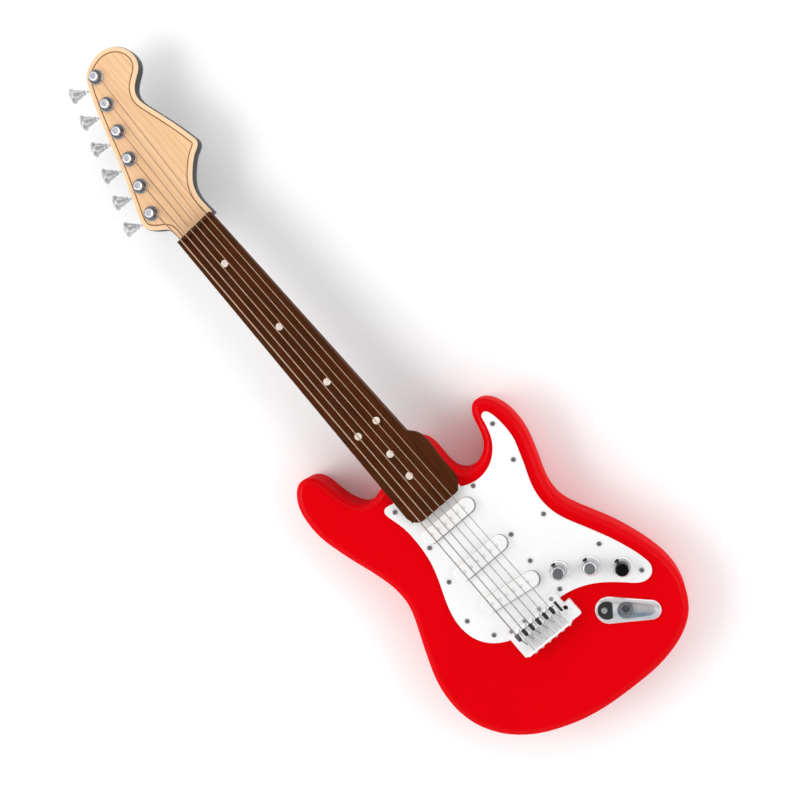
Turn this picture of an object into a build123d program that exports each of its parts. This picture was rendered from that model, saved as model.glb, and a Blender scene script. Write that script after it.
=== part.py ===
from build123d import *
import os
import math

# Toy electric guitar.  Frame: the guitar lies on its back, face up.
# +Y runs towards the headstock, +X to the treble side, +Z out of the face.
# Origin: on the back plane, on the strings' centreline, under the bridge.

# ---------------------------------------------------------------- dimensions
BODY_T = 38.0          # thickness of the body
PART_Z = 19.0          # parting plane of the two body shells
WALL = 2.6             # shell wall
EDGE_R = 7.0           # rounding of the body's outer edges
GUARD_T = 2.0          # pickguard thickness
GUARD_TOP = BODY_T + GUARD_T
FB_T = 6.0             # fingerboard thickness
FB_TOP = GUARD_TOP + FB_T
NUT_Y = 413.0          # end of the fingerboard at the headstock
FB_END_Y = 117.2       # end of the fingerboard over the body
HEAD_TOP = 38.0        # headstock face
HEAD_T = 10.0          # headstock thickness
FACE_T = 1.8           # maple-effect face plate
STR_NUT_Z = 48.6       # string height at the nut
STR_BR_Z = 51.9        # string height at the saddles
STR_X_NUT = [-14.2, -8.5, -2.85, 2.85, 8.5, 14.2]
STR_X_BR = [-17.05, -10.25, -3.4, 3.4, 10.25, 17.05]
STR_R = [0.55, 0.48, 0.42, 0.36, 0.32, 0.30]
POST0 = (17.7, 559.0)  # farthest tuner post
POST_STEP = (-7.78, -22.43)
POST_TOP = 44.1        # top of the tuner posts
SHAFT_Z = 23.5         # height of the tuner worm shafts
WORM_OFF = 4.35        # worm axis to post axis
SHAFT_TURN = 8.2       # shafts are turned this much from square to the post line
BUTTON_IN, BUTTON_OUT = 18.4, 29.8   # button ends, measured from the post axis
CLR = 0.05             # running clearance, radial
KNOBS = [(39.0, 20.2), (60.1, 7.9), (78.2, -8.0)]
JACK_C = (59.6, -36.6)
JACK_ANG = -38.3
JACK_L, JACK_W = 50.0, 21.0
JACK_END_R = 7.6       # the plate narrows to this radius
JACK_SOCKET_R = 3.25
SPK_C = (0.0, 62.0)
SPK_R = 28.5
BAT_X0, BAT_X1 = -47.5, 6.5
BAT_Y0, BAT_Y1 = -62.0, -13.5
SW_C = (40.0, -62.0)   # power switch

os.makedirs("parts", exist_ok=True)

BODY_PTS = [
    (-46.1, 157.6), (-41.0, 155.9), (-34.0, 156.4), (-24.0, 159.0), (-8.0, 164.0), (8.0, 169.6),
    (16.5, 171.6), (22.6, 169.4), (25.9, 163.4), (27.0, 155.0), (26.9, 145.0), (28.0, 134.5),
    (32.6, 127.2), (38.2, 124.4), (45.5, 124.3), (52.4, 126.6), (58.2, 131.0), (62.5, 138.3),
    (65.2, 148.0), (67.6, 155.0), (70.9, 159.8), (75.8, 161.9), (80.8, 160.5), (84.9, 156.4), (88.2, 150.6),
    (90.4, 143.6), (91.5, 133.0), (90.4, 120.5), (86.8, 107.3), (81.8, 93.5), (77.2, 81.0),
    (75.4, 71.0), (75.8, 61.6), (78.6, 52.7), (85.4, 38.6), (93.1, 23.3), (102.1, -0.5),
    (106.3, -17.5), (107.6, -31.5), (105.3, -46.5), (99.7, -59.1), (92.6, -68.2), (84.2, -74.5),
    (73.6, -79.6), (60.3, -83.4), (46.3, -85.6), (30.0, -86.3), (13.0, -86.1), (-1.3, -85.4),
    (-15.0, -83.8), (-29.7, -80.7), (-42.0, -76.8), (-54.4, -71.9), (-65.0, -66.2), (-74.0, -59.7),
    (-82.2, -51.9), (-89.0, -42.6), (-94.2, -32.6), (-97.4, -21.3), (-98.6, -9.5), (-97.9, 2.4),
    (-94.9, 16.2), (-90.0, 29.6), (-82.9, 46.6), (-76.0, 62.6), (-73.0, 72.0), (-72.0, 81.0),
    (-72.5, 90.5), (-75.3, 103.6), (-79.0, 115.4), (-84.0, 130.0), (-88.4, 145.0), (-91.4, 157.5),
    (-92.4, 168.5), (-91.7, 179.5), (-89.6, 189.0), (-85.8, 196.6), (-80.6, 202.2), (-74.4, 204.9),
    (-68.6, 203.8), (-63.6, 199.8), (-60.2, 192.4), (-58.3, 182.5), (-55.8, 172.0), (-51.8, 163.4)]

GUARD_PTS_R = [   # from the bridge, round the right side to the fingerboard
    (25.6, 3.7), (35.2, 2.4), (42.7, 0.3), (54.9, -5.4), (67.1, -14.4), (74.5, -21.0),
    (79.9, -25.4), (84.5, -27.3), (89.5, -27.2), (93.6, -24.6), (95.7, -20.6), (95.6, -15.4),
    (93.9, -7.5), (91.2, 0.9), (87.2, 11.5), (82.6, 21.6), (76.0, 34.8), (69.6, 47.6),
    (66.4, 56.7), (65.0, 66.5), (65.9, 78.6), (69.2, 89.6), (73.6, 100.4), (77.5, 111.3),
    (80.3, 119.8), (81.2, 128.0), (80.8, 140.0), (79.4, 146.6), (76.6, 150.4), (73.8, 150.0),
    (71.8, 145.4), (69.4, 136.2), (66.6, 129.8), (61.9, 123.6), (56.4, 118.9), (50.0, 115.7),
    (42.8, 114.1), (35.0, 114.3), (27.8, 116.6), (24.0, 118.4)]
GUARD_PTS_L = [   # from the fingerboard down the left side to the bridge
    (-24.0, 143.0), (-29.0, 143.4), (-33.4, 143.9), (-35.9, 142.0), (-36.2, 138.0), (-34.2, 129.9),
    (-32.3, 121.0), (-31.8, 110.0), (-32.4, 98.6), (-33.9, 88.9), (-37.2, 77.5), (-41.2, 67.2),
    (-45.3, 57.2), (-48.4, 47.4), (-49.9, 38.3), (-49.6, 29.8), (-47.4, 21.3), (-42.3, 12.9),
    (-34.9, 6.5), (-26.0, 2.2)]

HEAD_L = [(-18.3, NUT_Y), (-18.2, 421.0), (-19.6, 427.2), (-24.6, 431.6), (-29.6, 435.8), (-32.9, 440.6),
          (-33.4, 445.6), (-31.2, 453.4), (-25.4, 468.2), (-17.9, 487.7), (-10.3, 510.5), (-2.7, 533.2),
          (1.6, 545.1), (5.9, 555.6), (10.4, 563.8), (16.0, 568.6), (23.0, 571.2), (31.0, 572.1),
          (39.0, 570.4), (46.0, 566.2), (51.0, 559.8), (53.2, 552.4), (52.6, 545.6), (49.4, 540.0),
          (44.4, 536.2), (39.2, 532.9), (34.6, 528.2), (32.8, 521.8), (34.0, 514.4), (39.0, 497.2), (43.4, 480.5),
          (46.6, 465.4)]
HEAD_R = [(46.6, 465.4), (44.6, 460.8), (38.0, 457.0), (30.6, 451.4), (24.4, 445.2), (20.1, 438.8),
          (17.9, 431.8), (17.5, 424.0), (18.0, NUT_Y)]

GUARD_SCREWS = [(-29.4, 136.7), (-26.8, 97.7), (-33.0, 67.6), (-42.4, 35.1), (-33.3, 13.5),
                (75.7, 139.1), (69.5, 107.7), (59.4, 60.9), (29.6, 64.9), (27.4, 40.0), (76.6, 16.4),
                (88.0, -19.4), (32.2, 112.5), (30.3, 8.8)]


# ------------------------------------------------------------------- helpers
def closed_face(pts, z=0.0):
    e = Spline([Vector(x, y, z) for x, y in pts], periodic=True)
    return make_face(Wire([e])), e


def inset_pts(edge, d, n=110):
    # points moved inwards by d along the normal of a closed planar edge
    out = []
    area = 0.0
    ps = [edge @ (i / n) for i in range(n)]
    for i in range(n):
        a, b = ps[i], ps[(i + 1) % n]
        area += a.X * b.Y - b.X * a.Y
    s = 1.0 if area > 0 else -1.0
    for i in range(n):
        p = ps[i]
        t = edge % (i / n)
        out.append((p.X - t.Y * d * s, p.Y + t.X * d * s))
    return out


def cyl(x, y, z0, z1, r):
    return Pos(x, y, z0) * Cylinder(r, z1 - z0, align=(Align.CENTER, Align.CENTER, Align.MIN))


def box(x0, x1, y0, y1, z0, z1):
    return Pos((x0 + x1) / 2, (y0 + y1) / 2, (z0 + z1) / 2) * Box(x1 - x0, y1 - y0, z1 - z0)


def prism(pts, z0, z1):
    f = make_face(Wire([Line(Vector(*pts[i], z0), Vector(*pts[(i + 1) % len(pts)], z0)) for i in range(len(pts))]))
    return extrude(f, z1 - z0, dir=(0, 0, 1))


def solids(obj):
    return list(obj.solids()) if hasattr(obj, "solids") else [obj]


def write(name, *objs):
    sol = []
    for o in objs:
        sol.extend(solids(o))
    c = sol[0] if len(sol) == 1 else Compound(children=sol)
    c.label = name
    export_step(c, "parts/%s.step" % name)


def edges_at(part, z, tol=0.05):
    return [e for e in part.edges() if abs(e.bounding_box().min.Z - z) < tol and abs(e.bounding_box().max.Z - z) < tol]


# ---------------------------------------------------------------- body blank
outer_face, outer_edge = closed_face(BODY_PTS)


def inset_face(d, z, n=110):
    pts = inset_pts(outer_edge, d, n)
    return make_face(Wire([Spline([Vector(x, y, z) for x, y in pts], periodic=True)]))


def half_blank(gap, r, z_mid, z_far):
    # prism from z_mid, closed by a rounded edge of radius r at z_far
    up = 1 if z_far > z_mid else -1
    zr = z_far - up * r
    core = extrude(inset_face(gap, min(z_mid, zr)), abs(zr - z_mid), dir=(0, 0, 1))
    secs = [inset_face(gap + r * (1 - math.cos(math.radians(a))), zr + up * r * math.sin(math.radians(a)))
            for a in (0, 18, 36, 54, 72, 90)]
    return core + loft(secs)


front = half_blank(0.0, EDGE_R, PART_Z, BODY_T)
back = half_blank(0.0, EDGE_R, PART_Z, 0.0)
front_solid = front
F_ADD, F_CUT, B_ADD, B_CUT, G_CUT = [], [], [], [], []
front = front - half_blank(WALL, EDGE_R - WALL, PART_Z, BODY_T - WALL)
back = back - half_blank(WALL, EDGE_R - WALL, PART_Z, WALL)

# shell screws: bosses in both halves, screws from the back
SHELL_SCREWS = [(-74.0, 172.0), (76.0, 128.0), (-58.0, 92.0), (58.0, 84.0), (-76.0, -38.0), (88.0, -50.0), (14.0, -74.0)]
for x, y in SHELL_SCREWS:
    F_ADD.append(cyl(x, y, PART_Z, BODY_T - WALL, 4.0))
    B_ADD.append(cyl(x, y, WALL, PART_Z, 4.0))
for x, y in SHELL_SCREWS:
    F_CUT.append(cyl(x, y, PART_Z, 30.0, 1.5))
    B_CUT.append(cyl(x, y, 0, PART_Z, 1.7))
    B_CUT.append(cyl(x, y, 0, 4.0, 3.2))
shell_screws = []
for x, y in SHELL_SCREWS:
    s = cyl(x, y, 1.6, 4.0, 2.9) + cyl(x, y, 4.0, 29.5, 1.45)
    s -= box(x - 2.2, x + 2.2, y - 0.4, y + 0.4, 1.6, 2.5)
    s -= box(x - 0.4, x + 0.4, y - 2.2, y + 2.2, 1.6, 2.5)
    shell_screws.append(s)

# ---------------------------------------------------------------- neck pocket
NECK_L = lambda y: -18.7 + (-23.0 + 18.7) * (NUT_Y - y) / (NUT_Y - 190.0)
NECK_R = lambda y: 17.3 + (20.8 - 17.3) * (NUT_Y - y) / (NUT_Y - 190.0)
HEEL_Y = 121.0
NECK_BOT_NUT = 30.0
NECK_BOT_HEEL = 26.0


def neck_section(y, zb, grow=0.0):
    l, r = NECK_L(y) - grow, NECK_R(y) + grow
    pts = [(l, GUARD_TOP), (l, zb + 9.0), (l + 3.2, zb + 3.6), (l + 9.0, zb), (r - 9.0, zb), (r - 3.2, zb + 3.6),
           (r, zb + 9.0), (r, GUARD_TOP)]
    v = [Vector(x, y, z) for x, z in pts]
    es = [Line(v[0], v[1]), Spline([v[1], v[2], v[3]], tangents=[Vector(0, 0, -1), Vector(1, 0, 0)]),
          Line(v[3], v[4]), Spline([v[4], v[5], v[6]], tangents=[Vector(1, 0, 0), Vector(0, 0, 1)]),
          Line(v[6], v[7]), Line(v[7], v[0])]
    return make_face(Wire(es))


neck = loft([neck_section(HEEL_Y, NECK_BOT_HEEL), neck_section(NUT_Y, NECK_BOT_NUT)], ruled=True)
pocket = prism([(NECK_L(HEEL_Y) - 0.1, HEEL_Y - 0.1), (NECK_R(HEEL_Y) + 0.1, HEEL_Y - 0.1),
                (NECK_R(230) + 0.1, 230), (NECK_L(230) - 0.1, 230)], NECK_BOT_HEEL - 0.1, 60)
pocket_wall = prism([(NECK_L(HEEL_Y) - 2.7, HEEL_Y - 2.7), (NECK_R(HEEL_Y) + 1.5, HEEL_Y - 2.7),
                     (NECK_R(230) + 1.5, 230), (NECK_L(230) - 2.7, 230)], NECK_BOT_HEEL - 2.7, 37.0) & front_solid
F_ADD.append(pocket_wall)
F_CUT.append(pocket)
# hollow of the neck, open to the fingerboard
cav = loft([make_face(Wire.make_polygon([Vector(NECK_L(y) + 5.0, y, zt), Vector(NECK_L(y) + 9.0, y, zb + 3.0),
                                         Vector(NECK_R(y) - 9.0, y, zb + 3.0), Vector(NECK_R(y) - 5.0, y, zt)]))
            for y, zb, zt in ((HEEL_Y + 34.0, NECK_BOT_HEEL + 0.4, GUARD_TOP), (NUT_Y - 18.0, NECK_BOT_NUT, GUARD_TOP))], ruled=True)
neck = neck - cav
# socket for the headstock's tongue
TONGUE = (-10.0, 9.0, NUT_Y - 16.0, NUT_Y, 33.0, 36.2)
neck -= box(TONGUE[0] - CLR, TONGUE[1] + CLR, TONGUE[2] - CLR, NUT_Y + 1, TONGUE[4] - CLR, TONGUE[5] + CLR)
# neck screws through the back shell into the heel
NECK_SCREWS = [(-13.0, 130.0), (11.0, 130.0), (-13.0, 148.0), (11.0, 148.0)]
neck_screws = []
for x, y in NECK_SCREWS:
    B_ADD.append(cyl(x, y, WALL, PART_Z, 4.2))
    F_ADD.append(cyl(x, y, PART_Z, NECK_BOT_HEEL - 0.1, 4.2))
for x, y in NECK_SCREWS:
    B_CUT.append(cyl(x, y, 0, PART_Z, 1.75))
    B_CUT.append(cyl(x, y, 0, 4.0, 3.4))
    F_CUT.append(cyl(x, y, PART_Z - 1, 27, 1.75))
    neck -= cyl(x, y, 20, 37.5, 1.6)
    s = cyl(x, y, 1.4, 4.0, 3.1) + cyl(x, y, 4.0, 37.0, 1.55)
    s -= box(x - 2.3, x + 2.3, y - 0.4, y + 0.4, 1.4, 2.4)
    s -= box(x - 0.4, x + 0.4, y - 2.3, y + 2.3, 1.4, 2.4)
    neck_screws.append(s)

# ---------------------------------------------------------------- fingerboard
FLARE = [(NECK_R(182), 182.0), (23.6, 177.0), (27.0, 172.8), (29.0, 167.0), (29.2, 159.0), (28.4, 150.0), (28.1, 140.0),
         (28.1, 130.0), (26.2, 123.4), (21.6, 118.4), (16.0, 117.2)]
FEND = [(16.0, FB_END_Y), (-13.0, FB_END_Y)]
FLEFT = [(-13.0, 117.2), (-19.5, 118.8), (-23.2, 123.6), (NECK_L(132), 132.0)]
v = lambda p: Vector(p[0], p[1], GUARD_TOP)
fb_edges = [Line(v((NECK_L(NUT_Y), NUT_Y)), v((NECK_R(NUT_Y), NUT_Y))), Line(v((NECK_R(NUT_Y), NUT_Y)), v(FLARE[0])),
            Spline([v(p) for p in FLARE], tangents=[Vector(0.02, -1, 0), Vector(-1, 0, 0)]), Line(v(FEND[0]), v(FEND[1])),
            Spline([v(p) for p in FLEFT], tangents=[Vector(-1, 0, 0), Vector(0.02, 1, 0)]), Line(v(FLEFT[-1]), v((NECK_L(NUT_Y), NUT_Y)))]
fb = extrude(make_face(Wire(fb_edges)), FB_T, dir=(0, 0, 1))
fb = chamfer(edges_at(fb, FB_TOP), 0.7)
MARKS = [(-0.6, 373.7), (-0.5, 306.9), (-0.5, 249.0), (-10.4, 200.4), (9.0, 200.4), (-0.1, 173.6), (0.1, 150.8)]
MARK_R = 3.0
marks = []
for x, y in MARKS:
    fb -= cyl(x, y, FB_TOP - 1.0, FB_TOP + 1, MARK_R)
    marks.append(cyl(x, y, FB_TOP - 1.0, FB_TOP + 0.05, MARK_R - 0.03))
nut = box(NECK_L(NUT_Y) + 0.8, NECK_R(NUT_Y) - 0.8, NUT_Y - 3.6, NUT_Y - 0.9, FB_TOP, FB_TOP + 2.9)
nut = chamfer(edges_at(nut, FB_TOP + 2.9), 0.5)

# ------------------------------------------------------------------ headstock
z0 = HEAD_TOP - HEAD_T
vz = lambda p: Vector(p[0], p[1], z0)
head_wire = Wire([Spline([vz(p) for p in HEAD_L]), Spline([vz(p) for p in HEAD_R]), Line(vz(HEAD_R[-1]), vz(HEAD_L[0]))])
head_face = make_face(head_wire)
head_core = extrude(head_face, HEAD_T - FACE_T, dir=(0, 0, 1))
head_plate = extrude(head_face.moved(Location((0, 0, HEAD_T - FACE_T))), FACE_T, dir=(0, 0, 1))
head_core += box(TONGUE[0], TONGUE[1], TONGUE[2], NUT_Y + 2.0, TONGUE[4], TONGUE[5])
try:
    head_plate = chamfer(edges_at(head_plate, HEAD_TOP), 0.5)
except Exception:
    pass

# -------------------------------------------------------------------- tuners
pl = Vector(-POST_STEP[0], -POST_STEP[1], 0).normalized()       # along the posts, to the tip
sq = Vector(-pl.Y, pl.X, 0)                                     # square to it, to the buttons
dl = math.radians(SHAFT_TURN)
E = sq * math.cos(dl) + pl * math.sin(dl)                       # shaft direction
NN = E.cross(Vector(0, 0, 1)) * -1
if NN.dot(pl) > 0:
    NN = NN * -1                                                # from the post to the worm axis, towards the nut
POSTS = [(POST0[0] + POST_STEP[0] * k, POST0[1] + POST_STEP[1] * k) for k in range(6)]
ANG = math.degrees(math.atan2(E.Y, E.X))
bushings, housings, tuner_screws, tposts, tbuttons, tworms = [], [], [], [], [], []
SIDE = 1.0 if (Vector(0, 1, 0).rotate(Axis.Z, ANG)).dot(NN) > 0 else -1.0


def shaft_loc(px, py):
    # local +X along the shaft, +Y square to it, +Z up
    return Location((px, py, 0), (0, 0, ANG))


for px, py in POSTS:
    hole = cyl(px, py, z0 - 1, HEAD_TOP + 1, 4.25)
    head_core -= hole
    head_plate -= hole
    b = cyl(px, py, z0, HEAD_TOP, 4.2) + cyl(px, py, HEAD_TOP, HEAD_TOP + 1.3, 6.2)
    b = chamfer([e for e in edges_at(b, HEAD_TOP + 1.3) if e.length > 30], 0.5)
    b -= cyl(px, py, z0 - 1, HEAD_TOP + 3, 3.1 + CLR)
    bushings.append(b)
    # post with its gear, waist for the string, and cap
    p = cyl(px, py, 19.6, 27.4, 1.6) + cyl(px, py, 21.2, 25.8, 2.7) + cyl(px, py, 27.4, 39.7, 3.1)
    p += cyl(px, py, 39.7, 42.1, 2.3) + cyl(px, py, 42.1, POST_TOP, 3.6)
    p = chamfer([e for e in edges_at(p, POST_TOP)], 0.9)
    p -= cyl(px, py, POST_TOP - 0.6, 48, 1.0)
    for a in range(12):
        c = math.radians(a * 30)
        p -= cyl(px + 2.85 * math.cos(c), py + 2.85 * math.sin(c), 21.0, 26.0, 0.32)
    tposts.append(p)
    L = shaft_loc(px, py)
    yo = WORM_OFF * SIDE
    # housing under the headstock, open upwards
    hb = Pos(0.6, SIDE * 1.4, (16.8 + z0) / 2) * Box(11.6, 12.4, z0 - 16.8)
    hb = fillet(hb.edges().filter_by(Axis.Z), 1.6)
    hb -= Pos(0.6, SIDE * 1.4, 18.0 + (z0 - 18.0) / 2 + 0.5) * Box(9.8, 10.6, z0 - 18.0 + 1)
    tab = Pos(-8.6, SIDE * 1.4, z0 - 0.6) * Box(6.8, 6.0, 1.2)
    tab -= Pos(-9.2, SIDE * 1.4, z0 - 0.6) * Cylinder(1.1, 3)
    hb += tab
    hb -= Pos(4, yo, SHAFT_Z) * Rot(0, 90, 0) * Cylinder(1.25 + CLR, 12)
    housings.append(L * hb)
    sc = Pos(-9.2, SIDE * 1.4, z0 - 1.2 - 0.65) * Cylinder(2.0, 1.3) + Pos(-9.2, SIDE * 1.4, z0 + 2.0) * Cylinder(1.02, 6.4)
    sc -= Pos(-9.2, SIDE * 1.4, z0 - 2.4) * Box(3.0, 0.5, 0.7)
    tuner_screws.append(L * sc)
    head_core -= L * (Pos(-9.2, SIDE * 1.4, z0 + 2.4) * Cylinder(1.08, 6.4))
    # worm shaft
    w = Pos(0.5, yo, SHAFT_Z) * Rot(0, 90, 0) * Cylinder(1.0, 8.0)
    for i in range(5):
        w += Pos(-2.6 + i * 1.4, yo, SHAFT_Z) * Rot(0, 90, 0) * Cylinder(1.5, 0.7)
    w += Pos((4.5 + 21.0) / 2, yo, SHAFT_Z) * Rot(0, 90, 0) * Cylinder(1.25, 21.0 - 4.5)
    tworms.append(L * w)
    # bell-shaped button, a body of revolution about the shaft
    lb = BUTTON_OUT - BUTTON_IN
    prof = [(0, 2.2), (1.6, 2.3), (3.4, 3.1), (6.0, 4.1), (8.4, 4.9), (9.6, 5.9), (10.4, 6.4), (11.0, 6.4), (lb, 5.9)]
    pts = [Vector(BUTTON_IN + a, r, 0) for a, r in prof]
    es = [Line(Vector(BUTTON_IN, 0, 0), pts[0]), Spline(pts[:7]), Line(pts[6], pts[7]), Line(pts[7], pts[8]),
          Line(pts[8], Vector(BUTTON_OUT, 0, 0)), Line(Vector(BUTTON_OUT, 0, 0), Vector(BUTTON_IN, 0, 0))]
    bt = revolve(make_face(Wire(es)), Axis((0, 0, 0), (1, 0, 0)))
    bt -= Pos((BUTTON_IN + 21.0) / 2 - 1, 0, 0) * Rot(0, 90, 0) * Cylinder(1.25, 21.0 - BUTTON_IN + 2)
    tbuttons.append(L * (Pos(0, yo, SHAFT_Z) * bt))

# -------------------------------------------------------------------- strings
strings = []
for k in range(6):
    # bass string (left) goes to the nearest post
    px, py = POSTS[5 - k]
    r = STR_R[k]
    xn, xb = STR_X_NUT[k], STR_X_BR[k]
    zn = FB_TOP + 2.9 + r
    a = Vector(xb, -7.6, 43.4)
    b_ = Vector(xb, 0.6, STR_BR_Z - 0.4 + r)
    c_ = Vector(xn, NUT_Y - 2.2, zn)
    # end: tangent to the post's waist on its right
    d = Vector(px - xn, py - (NUT_Y - 2.2), 0).normalized()
    nr = Vector(d.Y, -d.X, 0)
    e_ = Vector(px, py, 40.9) + nr * (2.3 + r + 0.32)

    def rod(p, q, rr):
        dv = q - p
        return Solid.make_cylinder(rr, dv.length, Plane(origin=p, z_dir=dv))
    path = FilletPolyline([a, b_, c_, e_], radius=[1.6, 8.0])
    s = sweep(Plane(origin=a, z_dir=(b_ - a).normalized()) * Circle(r), path=path)
    strings.append(s)
    # groove of the nut
    d1, d2 = (b_ - c_).normalized(), (e_ - c_).normalized()
    nut -= [rod(c_ - d1 * 6.0, c_ + d1 * 6.0, r + 0.05), rod(c_ - d2 * 6.0, c_ + d2 * 6.0, r + 0.05)]

# ------------------------------------------------------------------ pickguard
vg = lambda p: Vector(p[0], p[1], BODY_T)
GX0, GX1 = GUARD_PTS_L[-1][0], GUARD_PTS_R[0][0]
guard_wire = Wire([Spline([vg(p) for p in GUARD_PTS_R]), Line(vg(GUARD_PTS_R[-1]), vg((24.0, 132.0))),
                   Line(vg((24.0, 132.0)), vg((-24.0, 132.0))), Line(vg((-24.0, 132.0)), vg(GUARD_PTS_L[0])),
                   Spline([vg(p) for p in GUARD_PTS_L]), Line(vg(GUARD_PTS_L[-1]), vg((GX0, 1.4))),
                   Line(vg((GX0, 1.4)), vg((GX1, 1.4))), Line(vg((GX1, 1.4)), vg(GUARD_PTS_R[0]))])
guard = extrude(make_face(guard_wire), GUARD_T, dir=(0, 0, 1))
guard = chamfer(edges_at(guard, GUARD_TOP), 0.5)
G_CUT.append(prism([(NECK_L(HEEL_Y) - 0.1, HEEL_Y - 0.1), (NECK_R(HEEL_Y) + 0.1, HEEL_Y - 0.1),
                    (NECK_R(170) + 0.1, 170), (NECK_L(170) - 0.1, 170)], 30, 60))
guard_screws = []


def pan_screw(x, y, z, rh=1.9, hh=0.9, rs=1.05, depth=6.0):
    s = cyl(x, y, z, z + hh, rh) + cyl(x, y, z - depth, z, rs)
    s = chamfer([e for e in edges_at(s, z + hh)], 0.35)
    s -= box(x - 1.1, x + 1.1, y - 0.25, y + 0.25, z + hh - 0.45, z + hh + 1)
    s -= box(x - 0.25, x + 0.25, y - 1.1, y + 1.1, z + hh - 0.45, z + hh + 1)
    return s


for x, y in GUARD_SCREWS:
    G_CUT.append(cyl(x, y, 30, 42, 1.15))
    F_CUT.append(cyl(x, y, 33, 42, 1.12))
    guard_screws.append(pan_screw(x, y, GUARD_TOP, depth=5.2))

# pickups
def slot(cx, cy, l, w, z0_, z1_, ang=0.0):
    return Pos(cx, cy, z0_) * Rot(0, 0, ang) * extrude(SlotOverall(l, w), z1_ - z0_)


PK = {"pickup_neck": (-0.6, 104.6, 50.0, 12.6, 0.0), "pickup_middle": (-0.5, 66.0, 50.0, 12.6, 0.0),
      "pickup_bridge": (-0.4, 31.4, 51.0, 12.6, -7.6)}
pickups = {}
for nme, (cx, cy, l, w, an) in PK.items():
    p = slot(cx, cy, l, w, GUARD_TOP, GUARD_TOP + 4.6, an)
    p = fillet(edges_at(p, GUARD_TOP + 4.6), 1.1)
    # two locating pegs through the pickguard
    for sx in (-17.0, 17.0):
        c = Vector(sx, 0, 0).rotate(Axis.Z, an)
        p += cyl(cx + c.X, cy + c.Y, GUARD_TOP - 4.4, GUARD_TOP + 0.5, 1.5)
        G_CUT.append(cyl(cx + c.X, cy + c.Y, 30, 42, 1.56))
        F_CUT.append(cyl(cx + c.X, cy + c.Y, 33, 42, 1.56))
    pickups[nme] = p

# ---------------------------------------------------------------------- knobs
knobs, pots = [], []
for i, (x, y) in enumerate(KNOBS):
    G_CUT.append(cyl(x, y, 30, 45, 3.3))
    F_CUT.append(cyl(x, y, 33, 42, 9.0))
    k = cyl(x, y, GUARD_TOP + 0.4, GUARD_TOP + 2.4, 8.0)
    k = chamfer([e for e in edges_at(k, GUARD_TOP + 2.4)], 0.9)
    cap = cyl(x, y, GUARD_TOP + 2.4, GUARD_TOP + 12.4, 5.2)
    cap = fillet([e for e in edges_at(cap, GUARD_TOP + 12.4)], 1.2)
    for a in range(24):
        c = math.radians(a * 15)
        cap -= cyl(x + 5.35 * math.cos(c), y + 5.35 * math.sin(c), GUARD_TOP + 3.0, GUARD_TOP + 11.0, 0.35)
    k += cap
    k += cyl(x, y, 27.0, GUARD_TOP + 1.0, 3.0)
    knobs.append(k)
    p = cyl(x, y, 25.0, 34.4, 8.2) + cyl(x, y, 34.4, BODY_T, 4.6)
    p -= cyl(x, y, 26.6, BODY_T + 1, 3.0 + CLR)
    # three solder lugs
    for lx in (-5.0, 0.0, 5.0):
        p += box(x + lx - 0.9, x + lx + 0.9, y - 11.4, y - 6.0, 26.4, 27.2)
    pots.append(p)

# --------------------------------------------------------------------- bridge
bp = box(-25.4, 31.3, -15.7, 1.2, BODY_T, 42.0) + box(-25.4, 25.9, 1.2, 9.8, GUARD_TOP, 42.0)
bp -= box(25.9, 32.0, -1.2, 3.0, 30, 50)
bp = fillet([e for e in bp.edges().filter_by(Axis.Z) if e.center().X > 30 or (e.center().X < -25 and abs(e.center().Y) > 5)], 1.2)
bp += box(-21.6, 21.6, -15.7, -14.1, 42.0, 48.0)
bp -= cyl(24.4, -4.8, 36, 50, 1.9)
saddles, bscrews = [], []
for k in range(6):
    x = STR_X_BR[k]
    r = STR_R[k]
    prof = [(5.2, 42.0), (5.2, 48.6), (2.8, STR_BR_Z - 0.4), (0.2, STR_BR_Z - 0.4), (-1.4, 49.2), (-1.4, 42.0)]
    f = make_face(Wire.make_polygon([Vector(x - 2.75, yy, zz) for yy, zz in prof]))
    sd = extrude(f, 5.5, dir=(1, 0, 0))
    # clearance notch for the string's fall behind the ridge
    sd -= Solid.make_cylinder(r + 0.06, 16.0, Plane(origin=Vector(x, -7.6, 43.4), z_dir=Vector(0, 8.2, STR_BR_Z - 0.4 + r - 43.4)))
    sd -= Solid.make_cylinder(r + 0.03, 12.0, Plane(origin=Vector(x, 0.4, STR_BR_Z - 0.4 + r), z_dir=Vector((STR_X_NUT[k] - x) / 410.0, 1, -0.0068)))
    xs = x + 1.9 - 0.1
    sd -= Pos(xs, -1.2, 45.0) * Rot(90, 0, 0) * Cylinder(0.62, 4.0)
    for sx in (-1.9, 1.9):
        sd -= cyl(x + sx, 3.6, 47, 53, 0.6)
    saddles.append(sd)
    bp -= Pos(xs, -14.9, 45.0) * Rot(90, 0, 0) * Cylinder(0.72, 4.0)
    bp -= Solid.make_cylinder(r + 0.1, 4.0, Plane(origin=Vector(x, -9.2, 41.6), z_dir=Vector(0, 8.2, 8.3)))
    sc = Pos(xs, (-15.7 + 0.7) / 2, 45.0) * Rot(90, 0, 0) * Cylinder(0.58, 16.4)
    sc += Pos(xs, -16.4, 45.0) * Rot(90, 0, 0) * Cylinder(1.25, 1.4)
    sc -= Pos(xs, -17.1, 45.0) * Box(0.4, 0.7, 3)
    bscrews.append(sc)
for x in (-20.5, -7.0, 8.0, 20.5):
    bp -= cyl(x, 7.4, 30, 50, 1.15)
    G_CUT.append(cyl(x, 7.4, 30, 50, 1.15))
    F_CUT.append(cyl(x, 7.4, 33, 50, 1.12))
    bscrews.append(pan_screw(x, 7.4, 42.0, rh=1.8, hh=0.8, depth=7.4))

# ----------------------------------------------------------------- jack plate
JL = Location((JACK_C[0], JACK_C[1], 0), (0, 0, JACK_ANG))


def jslot(l, w, za, zb, dx=0.0):
    return JL * (Pos(dx, 0, za) * extrude(SlotOverall(l, w), zb - za))


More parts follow.
